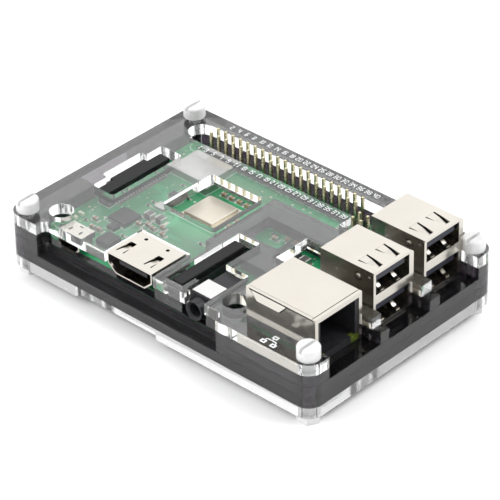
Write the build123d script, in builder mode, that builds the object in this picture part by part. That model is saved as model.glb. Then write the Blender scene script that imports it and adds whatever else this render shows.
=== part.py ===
from build123d import *
import os

os.makedirs("parts", exist_ok=True)

# ---- frame: origin at the case centre in plan, z = 0 under the nuts, +Z up, ports on -Y and +X ----
# Case
CASE_LENGTH = 99.5
CASE_WIDTH = 66.0
CASE_CORNER_R = 4.0
SHEET_T = 3.0
BOLT_INSET = 3.75
BOLT_HOLE_R = 1.6
SHANK_R = 1.5
HEAD_R = 2.85
HEAD_H = 3.3
HEAD_FILLET = 0.7
HEAD_SLOT_W = 0.9
HEAD_SLOT_DEPTH = 1.3
NUT_T = 2.4
NUT_ACROSS_R = 3.05
BASE_NOTCH = (16.4, 43.4)
BASE_NOTCH_DEPTH = 1.2
BASE_NOTCH_R = 1.0
FRONT_RECESS = (3.5, 63.2)
FRONT_RECESS_DEPTH = 3.0
FRONT_RECESS_R = 1.4
INNER_GAP = 0.3

# Board, given from its front left corner
BOARD_L = 85.0
BOARD_W = 56.0
BOARD_T = 1.4
BOARD_R = 3.0
BOARD_SHIFT_X = -0.3
BOARD_SHIFT_Y = 0.2
TAIL_L = 1.2
MOUNT_EDGE = 3.5
MOUNT_SPACING_X = 58.0
MOUNT_SPACING_Y = 49.0
MOUNT_R = 1.35
PITCH = 2.54

# Levels
BASE_Z = NUT_T
LOWER_Z = BASE_Z + SHEET_T
MIDDLE_Z = LOWER_Z + SHEET_T
UPPER_Z = MIDDLE_Z + SHEET_T
COVER_Z = UPPER_Z + SHEET_T
TOP_Z = COVER_Z + SHEET_T
BOARD_Z = MIDDLE_Z + TAIL_L
DECK_Z = BOARD_Z + BOARD_T
EPS = 0.5


def bx(value):
    """Board distance from its left end to the case frame."""
    return value - BOARD_L / 2 + BOARD_SHIFT_X


def by(value):
    """Board distance from its port edge to the case frame."""
    return value - BOARD_W / 2 + BOARD_SHIFT_Y


def plan(x_span, y_span, mode=Mode.ADD):
    """A rectangle in the active sketch, from spans measured on the board."""
    with Locations((bx(sum(x_span) / 2), by(sum(y_span) / 2))):
        Rectangle(x_span[1] - x_span[0], y_span[1] - y_span[0], mode=mode)


def block(x_span, y_span, z_span, mode=Mode.ADD):
    """A box in the active part, from spans measured on the board and above its deck."""
    centre = (bx(sum(x_span) / 2), by(sum(y_span) / 2), DECK_Z + sum(z_span) / 2)
    with Locations(centre):
        Box(x_span[1] - x_span[0], y_span[1] - y_span[0], z_span[1] - z_span[0], mode=mode)


def grow(span, amount):
    """Widen a span by an amount at both ends."""
    return (span[0] - amount, span[1] + amount)


# Spans that reach past the case edge
CASE_X = (BOARD_L / 2 - BOARD_SHIFT_X - CASE_LENGTH / 2, BOARD_L / 2 - BOARD_SHIFT_X + CASE_LENGTH / 2)
CASE_Y = (BOARD_W / 2 - BOARD_SHIFT_Y - CASE_WIDTH / 2, BOARD_W / 2 - BOARD_SHIFT_Y + CASE_WIDTH / 2)
PAST_LEFT = CASE_X[0] - EPS
PAST_RIGHT = CASE_X[1] + EPS
PAST_FRONT = CASE_Y[0] - EPS
RECESS_Y = CASE_Y[0] + FRONT_RECESS_DEPTH

# Cut-outs in the cover
COVER_DISPLAY = ((1.0, 8.0), (16.6, 40.9))
COVER_DISPLAY_STEP = ((-0.8, 1.0), (21.6, 35.2))
COVER_PROCESSOR = ((19.5, 36.6), (22.2, 39.7))
COVER_CAMERA = ((42.6, 49.5), (4.1, 24.8))
COVER_CAMERA_END = ((42.6, 48.0), (-0.2, 6.0))
COVER_AUDIO = ((49.5, 56.8), (PAST_FRONT, 13.0))
COVER_AUDIO_LEFT = 50.5
COVER_HEADER = ((3.5, 65.6), (48.4, 56.1))
COVER_POWER = ((58.3, 65.6), (43.2, 48.4))
COVER_CHIP_NOTCH = ((56.3, 72.0), (23.0, 34.0))
COVER_VIDEO = ((24.0, 40.1), (PAST_FRONT, 10.6))
COVER_NETWORK = ((65.6, PAST_RIGHT), (1.4, 19.0))
COVER_USB_A = ((70.2, PAST_RIGHT), (22.1, 36.5))
COVER_USB_B = ((70.2, PAST_RIGHT), (40.2, 54.4))
COVER_FINGER_END = ((90.0, PAST_RIGHT), (10.0, 50.0))
COVER_HOLE_R = 3.1
COVER_LOBE_R = 3.3
SLOT_R = 0.9
COVER_LEVEL_R = 0.8

# Cut-outs in the smoke frames
UPPER_LEFT_OPEN = ((3.5, 40.6), (PAST_FRONT, 1.0))
UPPER_AUDIO_OPEN = ((49.6, 57.3), (PAST_FRONT, 1.0))
UPPER_LINK = ((57.3, 66.2), (-1.0, 20.0))
UPPER_STRIP = ((40.4, 42.6), (-1.0, 20.0))
UPPER_SLANT = ((36.9, 22.6), (40.4, 15.2), (42.6, 15.2), (42.6, 22.6))
UPPER_BACK_LINK = ((66.2, 70.6), (42.0, 57.0))
UPPER_PIECE = ((37.4, 70.6), (18.6, 43.2))
UPPER_PIECE_WINDOW = ((41.7, 70.0), (27.2, 36.3))
UPPER_PIECE_STEP = ((54.0, 64.0), (24.0, 28.0))
UPPER_PIECE_CAMERA = ((42.0, 48.8), (18.0, 24.4))
UPPER_PIECE_JACK = ((65.6, PAST_RIGHT), (1.4, 19.0))
UPPER_FINGERS = ((65.0, COVER_FINGER_END[0][0]), (19.0, 22.1), (36.5, 40.2))
LOWER_WINDOW = ((16.0, 60.0), (9.0, 46.0))
CARD_BAY = ((PAST_LEFT, 17.5), (20.0, 36.0))
CARD_THUMB_BAY = ((PAST_LEFT, 1.0), (20.0, 36.0))

# Chips on the deck: (x span, y span, z span)
PACKAGE = ((19.0, 32.4), (26.0, 39.4), (0.0, 0.5))
LID_FLANGE = ((20.1, 31.3), (27.1, 38.3), (0.5, 1.1))
LID_TOP = ((21.0, 30.4), (28.0, 37.4), (1.1, 1.9))
SHIELD = ((5.4, 18.0), (38.8, 49.3), (0.0, 1.7))
SHIELD_R = 0.8
HUB = ((50.2, 54.6), (29.6, 34.0), (0.0, 0.9))
POWER_CHIP = ((9.4, 15.2), (13.3, 19.0), (0.0, 0.9))
SMALL_CHIPS = (
    ((15.2, 19.4), (3.4, 7.8), (0.0, 1.8)),
    ((12.0, 14.4), (10.2, 12.4), (0.0, 0.8)),
    ((13.2, 15.6), (30.4, 32.6), (0.0, 0.6)),
    ((63.0, 66.0), (29.0, 32.0), (0.0, 0.8)),
)
MEMORY = ((27.0, 38.0), (26.0, 37.0))
MEMORY_T = 0.9

# Rows of small soldered parts: (x, y) centres on the deck
CAPACITOR_SIZE = (1.6, 0.9, 0.9)
CAPACITORS = (
    (17.0, 16.4), (19.0, 17.6), (21.0, 17.2), (22.6, 19.0), (24.6, 16.8), (20.2, 14.6), (23.2, 14.4),
    (34.6, 30.0), (34.6, 33.0), (22.0, 41.4), (24.6, 41.4), (27.2, 41.4), (29.8, 41.4), (46.2, 33.6),
    (46.4, 28.6), (49.0, 35.2), (51.6, 35.4), (57.6, 29.4), (60.4, 28.6), (9.4, 8.0), (11.6, 8.2), (7.4, 11.0),
)
RESISTOR_SIZE = (1.0, 0.55, 0.38)
RESISTORS = (
    (12.6, 24.2), (12.6, 26.0), (14.4, 34.2), (16.2, 34.6), (12.8, 36.2), (26.0, 12.6), (28.0, 12.8), (30.0, 12.4),
    (32.0, 12.6), (34.0, 20.4), (36.0, 20.6), (44.6, 34.8), (47.8, 30.2), (55.6, 26.0), (61.6, 26.0), (59.0, 31.6),
    (62.0, 33.0), (17.4, 10.4), (19.2, 10.6), (5.6, 9.4), (52.6, 27.6), (48.4, 27.8),
)
INDUCTOR_SIZE = (2.4, 2.0, 1.5)
INDUCTORS = ((16.8, 20.4), (20.2, 20.8), (56.9, 32.6), (21.6, 10.8))
CRYSTAL_SIZE = (3.2, 2.5, 0.7)
CRYSTALS = ((58.8, 26.2), (15.8, 25.6))
LED_SIZE = (1.6, 0.8, 0.7)
STATUS_LEDS = ((3.0, 8.2), (3.0, 10.4))

# Pin headers
HEADER_BODY = ((7.1, 57.9), (49.96, 55.04), (0.0, PITCH))
HEADER_FIRST = (8.37, 51.23)
HEADER_COLUMNS = 20
HEADER_ROWS = 2
POWER_CENTRE = (61.8, 47.0)
POWER_COUNT = 2
PIN_W = 0.64
PIN_TOP = 8.54
PIN_HOLE_R = 0.5
HEADER_GROOVE = 0.35

# Ports on the right end
PORT_LIFT = 0.5
SHELL_T = 0.35
USB_X = (70.95, 87.5)
USB_HALF_W = 6.55
USB_FLANGE_Y = (-6.7, 7.1)
USB_FLANGE_WIDE = 7.45
USB_FLANGE_WIDE_Z = (6.7, 15.3)
USB_FLANGE_T = 0.5
USB_TOP = 16.0
USB_CENTRES = (29.0, 47.0)
USB_SPRING_OFFSETS = (-3.15, 2.85)
USB_SPRING_X = (81.0, 86.5)
USB_SPRING_ROOT_W = 1.7
USB_SPRING_TIP_W = 0.95
USB_CAVITY_DEPTH = 12.5
USB_LOWER_OPEN = (1.2, 7.1)
USB_UPPER_OPEN = (9.7, 15.3)
USB_OPEN_HALF_W = 5.9
USB_TONGUE_T = 1.9
USB_TONGUE_HALF_W = 5.2
USB_TONGUE_INSET = 0.9
USB_CONTACT_W = 1.0
USB_CONTACT_T = 0.25
USB_CONTACT_OFFSETS = (-3.5, -1.0, 1.0, 3.5)
JACK_X = (66.2, 87.5)
JACK_Y = (2.25, 18.25)
JACK_TOP = 13.5
JACK_COLLAR_X = 86.5
JACK_GROOVE = 0.12
JACK_SLIT_X = (79.1, 86.6)
JACK_SLIT_Z = (13.0, 13.3)
JACK_OPEN_Y = (3.3, 17.2)
JACK_OPEN_Z = (1.4, 12.3)
JACK_CAVITY_DEPTH = 14.0
JACK_WALL = 1.0
JACK_CONTACTS = 8
JACK_CONTACT_W = 0.45
JACK_CONTACT_PITCH = 1.02
JACK_CONTACT_T = 0.3
JACK_LED_W = 2.4
JACK_LED_H = 1.9
JACK_LED_DEPTH = 1.2

# Ports on the front
VIDEO_X = (24.6, 39.4)
VIDEO_Y = (-1.8, 9.8)
VIDEO_Z = (1.3, 6.5)
VIDEO_SIDE_Z = 3.6
VIDEO_FLOOR_X = (27.2, 36.8)
VIDEO_SPRINGS_X = (26.9, 36.1)
VIDEO_SPRING_Y = (0.1, 5.0)
VIDEO_SPRING_ROOT_W = 1.3
VIDEO_SPRING_TIP_W = 0.95
VIDEO_HOLES = ((28.0, 8.0), (35.2, 8.0))
VIDEO_HOLE_R = 0.5
VIDEO_TONGUE = ((27.4, 36.6), (-0.6, 8.6), (3.6, 4.6))
VIDEO_CONTACTS = 10
VIDEO_CONTACT_W = 0.4
VIDEO_CONTACT_T = 0.15
MICRO_X = (6.9, 14.3)
MICRO_Y = (-1.4, 4.2)
MICRO_Z = (0.5, 3.1)
MICRO_FLOOR_X = (8.2, 13.0)
MICRO_SIDE_Z = 1.6
MICRO_TONGUE = ((8.9, 12.3), (-0.6, 3.6), (2.0, 2.5))
AUDIO_X = (50.2, 56.6)
AUDIO_Y = (0.2, 12.4)
AUDIO_Z = (0.5, 6.0)
AUDIO_STEP_Y = 6.6
AUDIO_STEP_Z = 5.0
AUDIO_CENTRE = (53.6, 3.0)
AUDIO_NOSE_R = 2.55
AUDIO_NOSE_Y = -2.4
AUDIO_BORE_R = 1.8
AUDIO_BORE_DEPTH = 12.6
AUDIO_PLATE = ((50.4, 56.4), (0.6, 6.1), (6.0, 6.15))
AUDIO_TABS_Y = (8.2, 11.0)
AUDIO_TAB = (0.5, 1.4, 1.6)

# Ribbon connectors
CAMERA_BODY = ((43.0, 47.1), (0.9, 22.7), (0.0, 4.0))
CAMERA_LATCH = ((43.3, 46.8), (1.1, 22.5), (4.3, 5.8))
CAMERA_BLADE = ((44.6, 45.4), (3.4, 20.2), (2.2, 4.3))
CAMERA_WELL = ((44.3, 46.3), (2.9, 20.7), (1.0, 4.0))
CAMERA_FEET = (47.1, 48.3)
DISPLAY_BODY = ((2.3, 5.9), (17.1, 38.7), (0.0, 4.0))
DISPLAY_LATCH = ((2.4, 5.8), (17.2, 38.6), (4.3, 5.8))
DISPLAY_LATCH_STEP = ((1.2, 2.4), (22.4, 34.0), (4.3, 5.8))
DISPLAY_BLADE = ((3.8, 4.6), (19.6, 36.2), (2.2, 4.3))
DISPLAY_WELL = ((3.2, 5.1), (19.1, 36.7), (1.0, 4.0))
DISPLAY_FEET = (5.9, 7.1)
RIBBON_WAYS = 15
RIBBON_PITCH = 1.0
RIBBON_FOOT = (0.45, 0.25)
LATCH_EDGE_R = 0.25

# Memory card under the board
SOCKET_X = (1.4, 15.2)
SOCKET_Y = (21.4, 34.6)
SOCKET_T = 1.5
SOCKET_WALL = 0.3
CARD_L = 15.0
CARD_W = 11.0
CARD_T = 0.8
CARD_OUT = 2.3
CARD_DROP = 0.36
CARD_Y = 28.0

# Solder tails under the board: (x, y)
TAIL_R = 0.45
TAILS = (
    (68.0, 4.2), (68.0, 16.4), (70.6, 7.0), (70.6, 9.6), (70.6, 12.2), (80.0, 3.4), (80.0, 17.1),
    (73.0, 25.4), (73.0, 28.0), (73.0, 30.0), (73.0, 32.6), (82.0, 22.9), (82.0, 35.1),
    (73.0, 43.4), (73.0, 46.0), (73.0, 48.0), (73.0, 50.6), (82.0, 40.9), (82.0, 53.1),
    (26.0, 2.0), (38.0, 2.0), (26.0, 7.4), (38.0, 7.4), (8.0, 2.4), (13.2, 2.4), (51.4, 4.0), (55.8, 8.6),
)

POWER_SPAN_X = (POWER_CENTRE[0] - PITCH, POWER_CENTRE[0] + PITCH)
POWER_SPAN_Y = (POWER_CENTRE[1] - PITCH, POWER_CENTRE[1] + PITCH)
POWER_BODY = (POWER_SPAN_X, POWER_SPAN_Y, (0.0, PITCH))
HEADER_CENTRE = (
    HEADER_FIRST[0] + PITCH * (HEADER_COLUMNS - 1) / 2,
    HEADER_FIRST[1] + PITCH / 2,
)
BOLT_SPACING_X = CASE_LENGTH - 2 * BOLT_INSET
BOLT_SPACING_Y = CASE_WIDTH - 2 * BOLT_INSET
MOUNT_CENTRE = (MOUNT_EDGE + MOUNT_SPACING_X / 2, MOUNT_EDGE + MOUNT_SPACING_Y / 2)


def bolt_circles(radius, mode=Mode.ADD):
    """Four circles at the case bolts."""
    with GridLocations(BOLT_SPACING_X, BOLT_SPACING_Y, 2, 2):
        Circle(radius, mode=mode)


def header_grid():
    """Positions of the long header's pins."""
    centre = Location((bx(HEADER_CENTRE[0]), by(HEADER_CENTRE[1])))
    return [centre * spot for spot in GridLocations(PITCH, PITCH, HEADER_COLUMNS, HEADER_ROWS)]


def power_grid():
    """Positions of the power header's pins."""
    centre = Location((bx(POWER_CENTRE[0]), by(POWER_CENTRE[1])))
    return [centre * spot for spot in GridLocations(PITCH, PITCH, POWER_COUNT, POWER_COUNT)]


def front_recess():
    """The step back along the port side, with rounded shoulders."""
    mid = (FRONT_RECESS[0] + FRONT_RECESS[1]) / 2
    length = FRONT_RECESS[1] - FRONT_RECESS[0]
    with Locations((bx(mid), by(CASE_Y[0]))):
        RectangleRounded(length, 2 * FRONT_RECESS_DEPTH, FRONT_RECESS_R, mode=Mode.SUBTRACT)


def chips(spans):
    """Plain chip blocks on the deck."""
    for chip in spans:
        block(chip[0], chip[1], chip[2])


def small_parts(size, centres):
    """Small soldered parts of one size, standing on the deck."""
    spots = [(bx(spot[0]), by(spot[1]), DECK_Z + size[2] / 2) for spot in centres]
    with Locations(*spots):
        Box(*size)


# ---- Case ----
with BuildPart() as base_plate:
    with BuildSketch(Plane.XY.offset(BASE_Z)):
        RectangleRounded(CASE_LENGTH, CASE_WIDTH, CASE_CORNER_R)
        with Locations((bx(sum(BASE_NOTCH) / 2), by(CASE_Y[0]))):
            RectangleRounded(
                BASE_NOTCH[1] - BASE_NOTCH[0], 2 * BASE_NOTCH_DEPTH, BASE_NOTCH_R, mode=Mode.SUBTRACT
            )
        bolt_circles(BOLT_HOLE_R, mode=Mode.SUBTRACT)
    extrude(amount=SHEET_T)

with BuildPart() as lower_frame:
    with BuildSketch(Plane.XY.offset(LOWER_Z)):
        RectangleRounded(CASE_LENGTH, CASE_WIDTH, CASE_CORNER_R)
        plan(*LOWER_WINDOW, mode=Mode.SUBTRACT)
        plan(*CARD_BAY, mode=Mode.SUBTRACT)
        bolt_circles(BOLT_HOLE_R, mode=Mode.SUBTRACT)
    extrude(amount=SHEET_T)

with BuildPart() as middle_frame:
    with BuildSketch(Plane.XY.offset(MIDDLE_Z)):
        RectangleRounded(CASE_LENGTH, CASE_WIDTH, CASE_CORNER_R)
        front_recess()
        plan(grow((0, BOARD_L), INNER_GAP), grow((0, BOARD_W), INNER_GAP), mode=Mode.SUBTRACT)
        plan(*CARD_THUMB_BAY, mode=Mode.SUBTRACT)
        bolt_circles(BOLT_HOLE_R, mode=Mode.SUBTRACT)
    extrude(amount=SHEET_T)

with BuildPart() as upper_frame:
    with BuildSketch(Plane.XY.offset(UPPER_Z)):
        RectangleRounded(CASE_LENGTH, CASE_WIDTH, CASE_CORNER_R)
        front_recess()
        plan(grow((0, BOARD_L), INNER_GAP), grow((0, BOARD_W), INNER_GAP), mode=Mode.SUBTRACT)
        plan(*UPPER_LEFT_OPEN, mode=Mode.SUBTRACT)
        plan(*UPPER_AUDIO_OPEN, mode=Mode.SUBTRACT)
        plan(*UPPER_LINK)
        plan(*UPPER_PIECE)
        plan(*UPPER_STRIP)
        plan(*UPPER_BACK_LINK)
        with BuildLine():
            Polyline(*[(bx(spot[0]), by(spot[1])) for spot in UPPER_SLANT], close=True)
        make_face()
        plan(*UPPER_PIECE_WINDOW, mode=Mode.SUBTRACT)
        plan(*UPPER_PIECE_STEP, mode=Mode.SUBTRACT)
        plan(*UPPER_PIECE_CAMERA, mode=Mode.SUBTRACT)
        plan(*UPPER_PIECE_JACK, mode=Mode.SUBTRACT)
        plan(COVER_USB_A[0], COVER_USB_A[1], mode=Mode.SUBTRACT)
        plan(COVER_USB_B[0], COVER_USB_B[1], mode=Mode.SUBTRACT)
        plan(UPPER_FINGERS[0], UPPER_FINGERS[1])
        plan(UPPER_FINGERS[0], UPPER_FINGERS[2])
        with Locations((bx(MOUNT_EDGE + MOUNT_SPACING_X), by(MOUNT_EDGE))):
            Circle(COVER_HOLE_R, mode=Mode.SUBTRACT)
        bolt_circles(BOLT_HOLE_R, mode=Mode.SUBTRACT)
    extrude(amount=SHEET_T)

with BuildPart() as top_cover:
    with BuildSketch(Plane.XY.offset(COVER_Z)):
        RectangleRounded(CASE_LENGTH, CASE_WIDTH, CASE_CORNER_R)
        front_recess()
        plan(*COVER_DISPLAY, mode=Mode.SUBTRACT)
        plan(*COVER_DISPLAY_STEP, mode=Mode.SUBTRACT)
        plan(*COVER_PROCESSOR, mode=Mode.SUBTRACT)
        plan(*COVER_CAMERA, mode=Mode.SUBTRACT)
        plan((COVER_AUDIO_LEFT, COVER_AUDIO[0][1]), COVER_AUDIO[1], mode=Mode.SUBTRACT)
        plan(COVER_AUDIO[0], (COVER_CAMERA_END[1][0], COVER_AUDIO[1][1]), mode=Mode.SUBTRACT)
        plan(*COVER_CAMERA_END, mode=Mode.SUBTRACT)
        plan(*COVER_VIDEO, mode=Mode.SUBTRACT)
        plan(*COVER_HEADER, mode=Mode.SUBTRACT)
        plan(*COVER_POWER, mode=Mode.SUBTRACT)
        plan(*COVER_NETWORK, mode=Mode.SUBTRACT)
        plan(*COVER_USB_A, mode=Mode.SUBTRACT)
        plan(*COVER_USB_B, mode=Mode.SUBTRACT)
        plan(*COVER_CHIP_NOTCH, mode=Mode.SUBTRACT)
        plan(*COVER_FINGER_END, mode=Mode.SUBTRACT)
        with Locations((bx(MOUNT_EDGE), by(MOUNT_EDGE + MOUNT_SPACING_Y))):
            Circle(COVER_LOBE_R, mode=Mode.SUBTRACT)
        with Locations(
            (bx(MOUNT_EDGE), by(MOUNT_EDGE)),
            (bx(MOUNT_EDGE + MOUNT_SPACING_X), by(MOUNT_EDGE)),
        ):
            Circle(COVER_HOLE_R, mode=Mode.SUBTRACT)
        bolt_circles(BOLT_HOLE_R, mode=Mode.SUBTRACT)
    extrude(amount=SHEET_T)
    inner_edges = top_cover.edges().filter_by(Axis.Z).filter_by(
        lambda edge: abs(edge.center().X) < CASE_LENGTH / 2 - CASE_CORNER_R
        and abs(edge.center().Y) < CASE_WIDTH / 2 - FRONT_RECESS_DEPTH / 2
        and edge.geom_type == GeomType.LINE
    )
    slot_edges = inner_edges.filter_by(
        lambda edge: edge.center().X < bx(COVER_PROCESSOR[0][1] + EPS)
        and by(0) < edge.center().Y < by(COVER_HEADER[1][0] - EPS)
        and not (bx(VIDEO_X[0] - 1) < edge.center().X < bx(VIDEO_X[1] + 1) and edge.center().Y < by(VIDEO_Y[1] + 1))
    )
    fillet(slot_edges, COVER_LEVEL_R)

with BuildPart() as case_bolts:
    with BuildSketch(Plane.XY.offset(TOP_Z)):
        bolt_circles(HEAD_R)
    extrude(amount=HEAD_H)
    fillet(case_bolts.faces().sort_by(Axis.Z)[-4:].edges(), HEAD_FILLET)
    with BuildSketch(Plane.XY.offset(TOP_Z + HEAD_H - HEAD_SLOT_DEPTH)):
        with GridLocations(BOLT_SPACING_X, BOLT_SPACING_Y, 2, 2):
            Rectangle(HEAD_SLOT_W, 3 * HEAD_R)
    extrude(amount=HEAD_SLOT_DEPTH, mode=Mode.SUBTRACT)
    with BuildSketch(Plane.XY.offset(EPS)):
        bolt_circles(SHANK_R)
    extrude(amount=TOP_Z - EPS)

with BuildPart() as case_nuts:
    with BuildSketch(Plane.XY):
        with GridLocations(BOLT_SPACING_X, BOLT_SPACING_Y, 2, 2):
            RegularPolygon(NUT_ACROSS_R, 6)
        bolt_circles(SHANK_R, mode=Mode.SUBTRACT)
    extrude(amount=NUT_T)

# ---- Board ----
with BuildPart() as circuit_board:
    with BuildSketch(Plane.XY.offset(BOARD_Z)):
        with Locations((bx(BOARD_L / 2), by(BOARD_W / 2))):
            RectangleRounded(BOARD_L, BOARD_W, BOARD_R)
        with Locations((bx(MOUNT_CENTRE[0]), by(MOUNT_CENTRE[1]))):
            with GridLocations(MOUNT_SPACING_X, MOUNT_SPACING_Y, 2, 2):
                Circle(MOUNT_R, mode=Mode.SUBTRACT)
        with Locations(*header_grid(), *power_grid()):
            Circle(PIN_HOLE_R, mode=Mode.SUBTRACT)
    extrude(amount=BOARD_T)

with BuildPart() as solder_tails:
    with BuildSketch(Plane.XY.offset(MIDDLE_Z)):
        with Locations(*[(bx(spot[0]), by(spot[1])) for spot in TAILS]):
            Circle(TAIL_R)
    extrude(amount=TAIL_L, taper=-4)

with BuildPart() as processor_package:
    block(*PACKAGE)

with BuildPart() as processor_lid:
    block(*LID_FLANGE)
    fillet(processor_lid.edges().filter_by(Axis.Z), COVER_LEVEL_R)
    block(*LID_TOP)
    fillet(processor_lid.faces().sort_by(Axis.Z)[-1].edges(), LATCH_EDGE_R)

with BuildPart() as rf_shield:
    block(*SHIELD)
    fillet(rf_shield.edges().filter_by(Axis.Z), SHIELD_R)
    fillet(rf_shield.faces().sort_by(Axis.Z)[-1].edges(), LATCH_EDGE_R)

with BuildPart() as hub_chip:
    block(*HUB)

with BuildPart() as power_chip:
    block(*POWER_CHIP)

with BuildPart() as small_chips:
    chips(SMALL_CHIPS)

with BuildPart() as memory_chip:
    with BuildSketch(Plane.XY.offset(BOARD_Z - MEMORY_T)):
        plan(*MEMORY)
    extrude(amount=MEMORY_T)

with BuildPart() as capacitors:
    small_parts(CAPACITOR_SIZE, CAPACITORS)

with BuildPart() as resistors:
    small_parts(RESISTOR_SIZE, RESISTORS)

with BuildPart() as inductors:
    small_parts(INDUCTOR_SIZE, INDUCTORS)

with BuildPart() as crystal_cans:
    small_parts(CRYSTAL_SIZE, CRYSTALS)
    fillet(crystal_cans.edges().filter_by(Axis.Z), LATCH_EDGE_R)

with BuildPart() as status_leds:
    small_parts(LED_SIZE, STATUS_LEDS)

# ---- Pin headers ----
with BuildPart() as header_body:
    block(*HEADER_BODY)
    with BuildSketch(Plane.XY.offset(DECK_Z)):
        with Locations(*header_grid()):
            Rectangle(PIN_W, PIN_W)
    extrude(amount=PITCH, mode=Mode.SUBTRACT)
    for column in range(1, HEADER_COLUMNS):
        groove_x = HEADER_FIRST[0] + PITCH * (column - EPS)
        for groove_y in HEADER_BODY[1]:
            block(
                grow((groove_x, groove_x), HEADER_GROOVE),
                grow((groove_y, groove_y), HEADER_GROOVE),
                grow(HEADER_BODY[2], EPS),
                mode=Mode.SUBTRACT,
            )

with BuildPart() as header_pins:
    with BuildSketch(Plane.XY.offset(MIDDLE_Z)):
        with Locations(*header_grid()):
            Rectangle(PIN_W, PIN_W)
    extrude(amount=TAIL_L + BOARD_T + PIN_TOP)

with BuildPart() as power_header_body:
    block(*POWER_BODY)
    with BuildSketch(Plane.XY.offset(DECK_Z)):
        with Locations(*power_grid()):
            Rectangle(PIN_W, PIN_W)
    extrude(amount=PITCH, mode=Mode.SUBTRACT)

with BuildPart() as power_header_pins:
    with BuildSketch(Plane.XY.offset(MIDDLE_Z)):
        with Locations(*power_grid()):
            Rectangle(PIN_W, PIN_W)
    extrude(amount=TAIL_L + BOARD_T + PIN_TOP)


def usb_window(y):
    """Corners of the window round one spring finger on a USB stack's top."""
    root_x = bx(USB_SPRING_X[0])
    tip_x = bx(USB_SPRING_X[1])
    return [
        (root_x, by(y - USB_SPRING_ROOT_W)), (root_x, by(y + USB_SPRING_ROOT_W)),
        (tip_x, by(y + USB_SPRING_TIP_W)), (tip_x, by(y - USB_SPRING_TIP_W)),
    ]


def video_window(x):
    """Corners of the window round one spring finger on the video socket's top."""
    root_y = by(VIDEO_SPRING_Y[0])
    tip_y = by(VIDEO_SPRING_Y[1])
    return [
        (bx(x - VIDEO_SPRING_ROOT_W), root_y), (bx(x + VIDEO_SPRING_ROOT_W), root_y),
        (bx(x + VIDEO_SPRING_TIP_W), tip_y), (bx(x - VIDEO_SPRING_TIP_W), tip_y),
    ]


# ---- USB stacks ----
def usb_shell(centre):
    """One stacked pair of sockets: folded shell with two front openings."""
    body_y = grow((centre, centre), USB_HALF_W)
    inner_y = grow((centre, centre), USB_HALF_W - SHELL_T)
    open_y = grow((centre, centre), USB_OPEN_HALF_W)
    flange_y = (centre + USB_FLANGE_Y[0], centre + USB_FLANGE_Y[1])
    flange_x = (USB_X[1] - USB_FLANGE_T, USB_X[1])
    cavity_x = (USB_X[1] - USB_CAVITY_DEPTH, PAST_RIGHT)
    block(USB_X, body_y, (PORT_LIFT, USB_TOP))
    block(flange_x, flange_y, (PORT_LIFT, USB_TOP - SHELL_T))
    block(flange_x, (centre, centre + USB_FLANGE_WIDE), USB_FLANGE_WIDE_Z)
    block((USB_X[0] + SHELL_T, cavity_x[0]), inner_y, (PORT_LIFT - EPS, USB_TOP - SHELL_T), mode=Mode.SUBTRACT)
    for opening in (USB_LOWER_OPEN, USB_UPPER_OPEN):
        block(cavity_x, open_y, opening, mode=Mode.SUBTRACT)


def usb_insert(centre):
    """Plastic core behind the openings, with a tongue in each."""
    inner_y = grow((centre, centre), USB_HALF_W - SHELL_T)
    tongue_y = grow((centre, centre), USB_TONGUE_HALF_W)
    core_x = (USB_X[0] + SHELL_T, USB_X[1] - USB_CAVITY_DEPTH)
    tongue_x = (core_x[1], USB_X[1] - USB_TONGUE_INSET)
    block(core_x, inner_y, (PORT_LIFT, USB_TOP - SHELL_T))
    for opening in (USB_LOWER_OPEN, USB_UPPER_OPEN):
        block(tongue_x, tongue_y, (opening[1] - USB_TONGUE_T - EPS, opening[1] - EPS))


def usb_contacts(centre):
    """Four contact strips under each tongue."""
    contact_x = (USB_X[1] - USB_CAVITY_DEPTH, USB_X[1] - 2 * USB_TONGUE_INSET)
    for opening in (USB_LOWER_OPEN, USB_UPPER_OPEN):
        under = opening[1] - USB_TONGUE_T - EPS
        for offset in USB_CONTACT_OFFSETS:
            contact_y = grow((centre + offset, centre + offset), USB_CONTACT_W / 2)
            block(contact_x, contact_y, (under - USB_CONTACT_T, under))


with BuildPart() as usb_stack_a_shell:
    usb_shell(USB_CENTRES[0])
    for offset in USB_SPRING_OFFSETS:
        with BuildSketch(Plane.XY.offset(DECK_Z + USB_TOP)):
            with BuildLine():
                Polyline(*usb_window(USB_CENTRES[0] + offset), close=True)
            make_face()
        extrude(amount=-(USB_TOP - USB_UPPER_OPEN[1]), mode=Mode.SUBTRACT)

with BuildPart() as usb_stack_a_insert:
    usb_insert(USB_CENTRES[0])

with BuildPart() as usb_stack_a_contacts:
    usb_contacts(USB_CENTRES[0])

with BuildPart() as usb_stack_b_shell:
    usb_shell(USB_CENTRES[1])
    for offset in USB_SPRING_OFFSETS:
        with BuildSketch(Plane.XY.offset(DECK_Z + USB_TOP)):
            with BuildLine():
                Polyline(*usb_window(USB_CENTRES[1] + offset), close=True)
            make_face()
        extrude(amount=-(USB_TOP - USB_UPPER_OPEN[1]), mode=Mode.SUBTRACT)

with BuildPart() as usb_stack_b_insert:
    usb_insert(USB_CENTRES[1])

with BuildPart() as usb_stack_b_contacts:
    usb_contacts(USB_CENTRES[1])

# ---- Network jack ----
JACK_INNER_Y = grow(JACK_Y, -SHELL_T)
JACK_CAVITY_X = (JACK_X[1] - JACK_CAVITY_DEPTH, PAST_RIGHT)
JACK_MID_Y = sum(JACK_Y) / 2
JACK_PLUG_Y = grow(JACK_OPEN_Y, -JACK_WALL)
JACK_PLUG_Z = (JACK_OPEN_Z[0] + JACK_WALL, JACK_OPEN_Z[1] - JACK_WALL / 2)

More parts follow.
